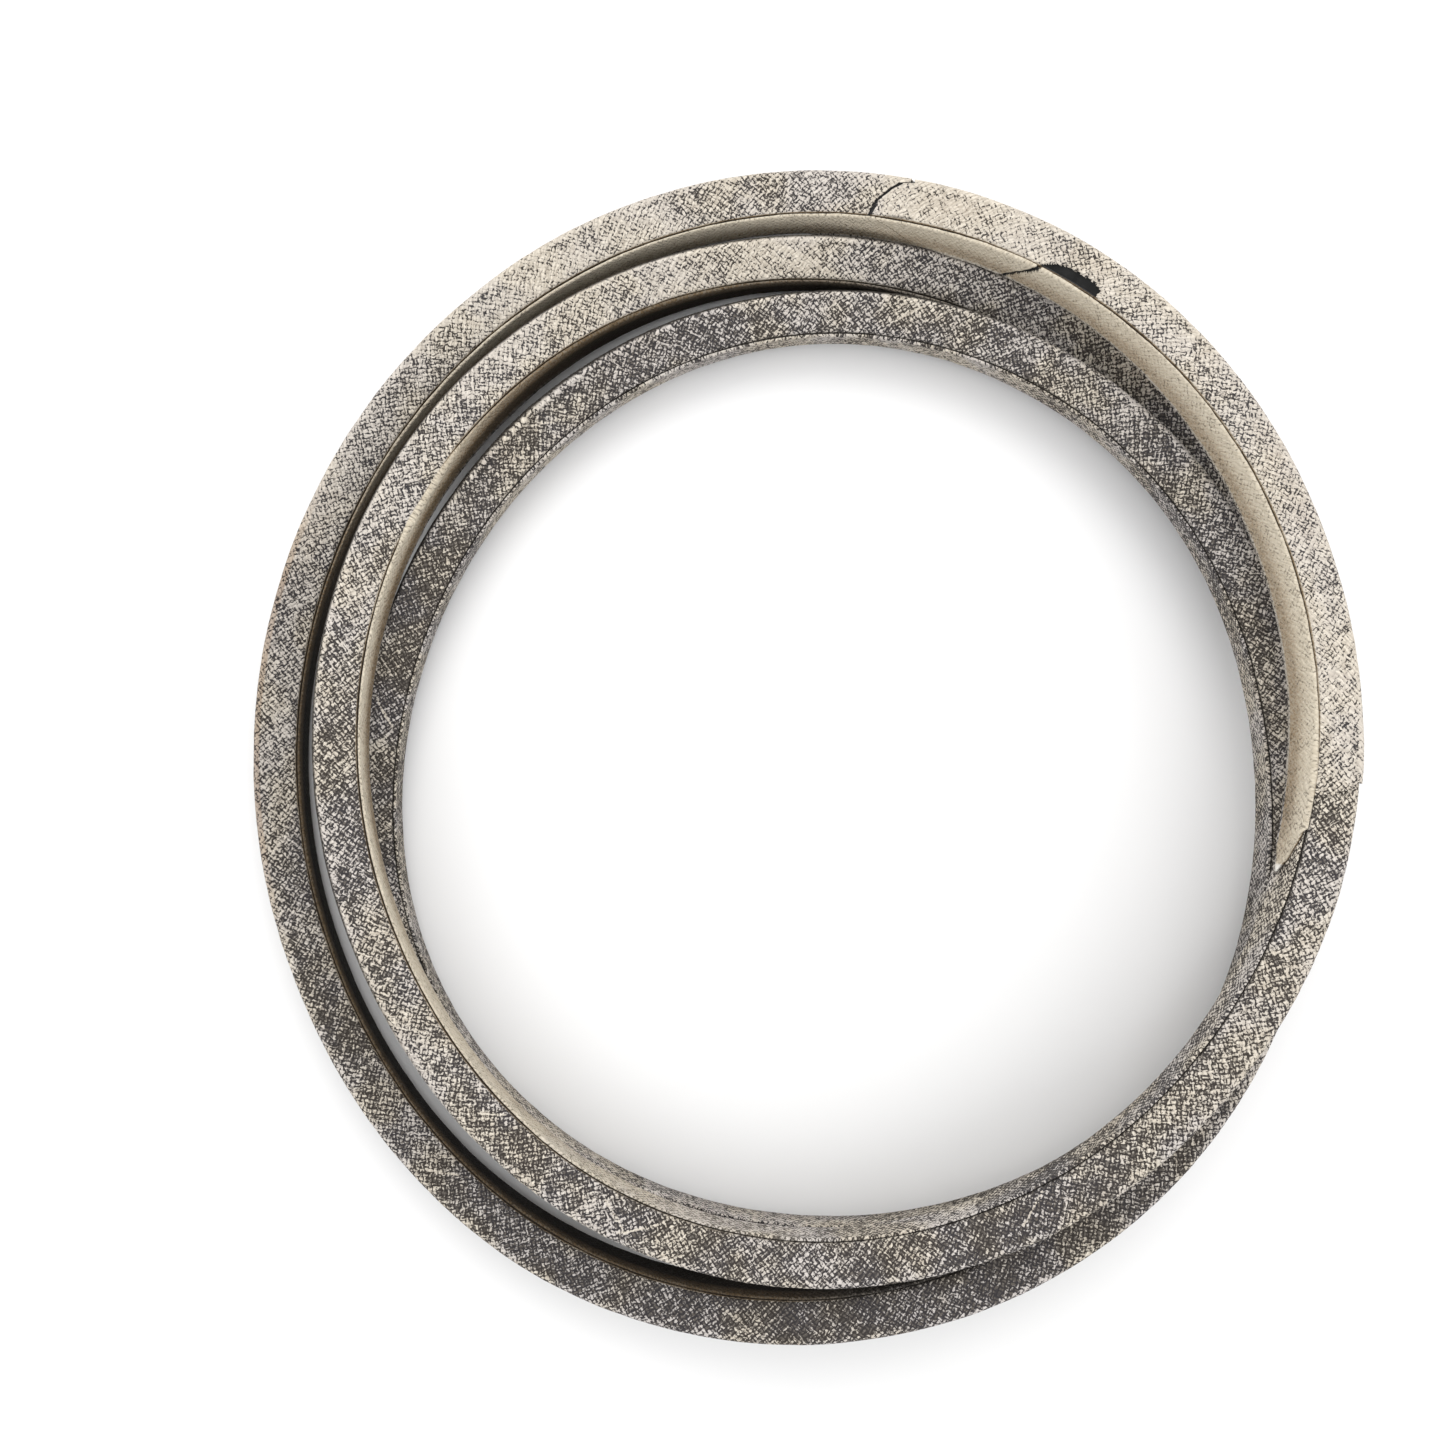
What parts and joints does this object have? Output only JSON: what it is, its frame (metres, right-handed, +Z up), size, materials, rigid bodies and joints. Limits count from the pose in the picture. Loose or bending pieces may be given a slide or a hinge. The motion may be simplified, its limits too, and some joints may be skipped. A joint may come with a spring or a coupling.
{
  "type": "wrapped v-belt",
  "caption": "Endless fabric-wrapped V-belt of classical A section, lying coiled in turns, with cord, gum and rubber layers inside; it carries drive between grooved pulleys",
  "frame": {"origin": "centre of the bottom of the coil's bounding box, on the surface it lies on", "axes": "+Z up, out of the surface and along the coil's own axis; +X and +Y in the surface"},
  "size_m": [0.2086, 0.2206, 0.0388],
  "materials": {
    "cover_fabric": "speckled bias-woven cotton and polyester cover, dry, cream threads over charcoal",
    "lining_fabric": "rubber-frictioned inner cover ply, dark",
    "base_rubber": "matt black compound",
    "gum_rubber": "dark adhesion gum",
    "cord_fibre": "twisted tension cord, pale"
  },
  "bodies": {
    "root": {"cover_first": "cover_fabric", "cover_second": "cover_fabric", "cover_third": "cover_fabric", "cover_fourth": "cover_fabric", "cover_fifth": "cover_fabric", "lining_first": "lining_fabric", "lining_second": "lining_fabric", "lining_third": "lining_fabric", "lining_fourth": "lining_fabric", "cushion_rubber": "base_rubber", "upper_gum": "gum_rubber", "lower_gum": "gum_rubber", "base_rubber": "base_rubber", "tension_cord": "cord_fibre"}
  },
  "joints": []
}
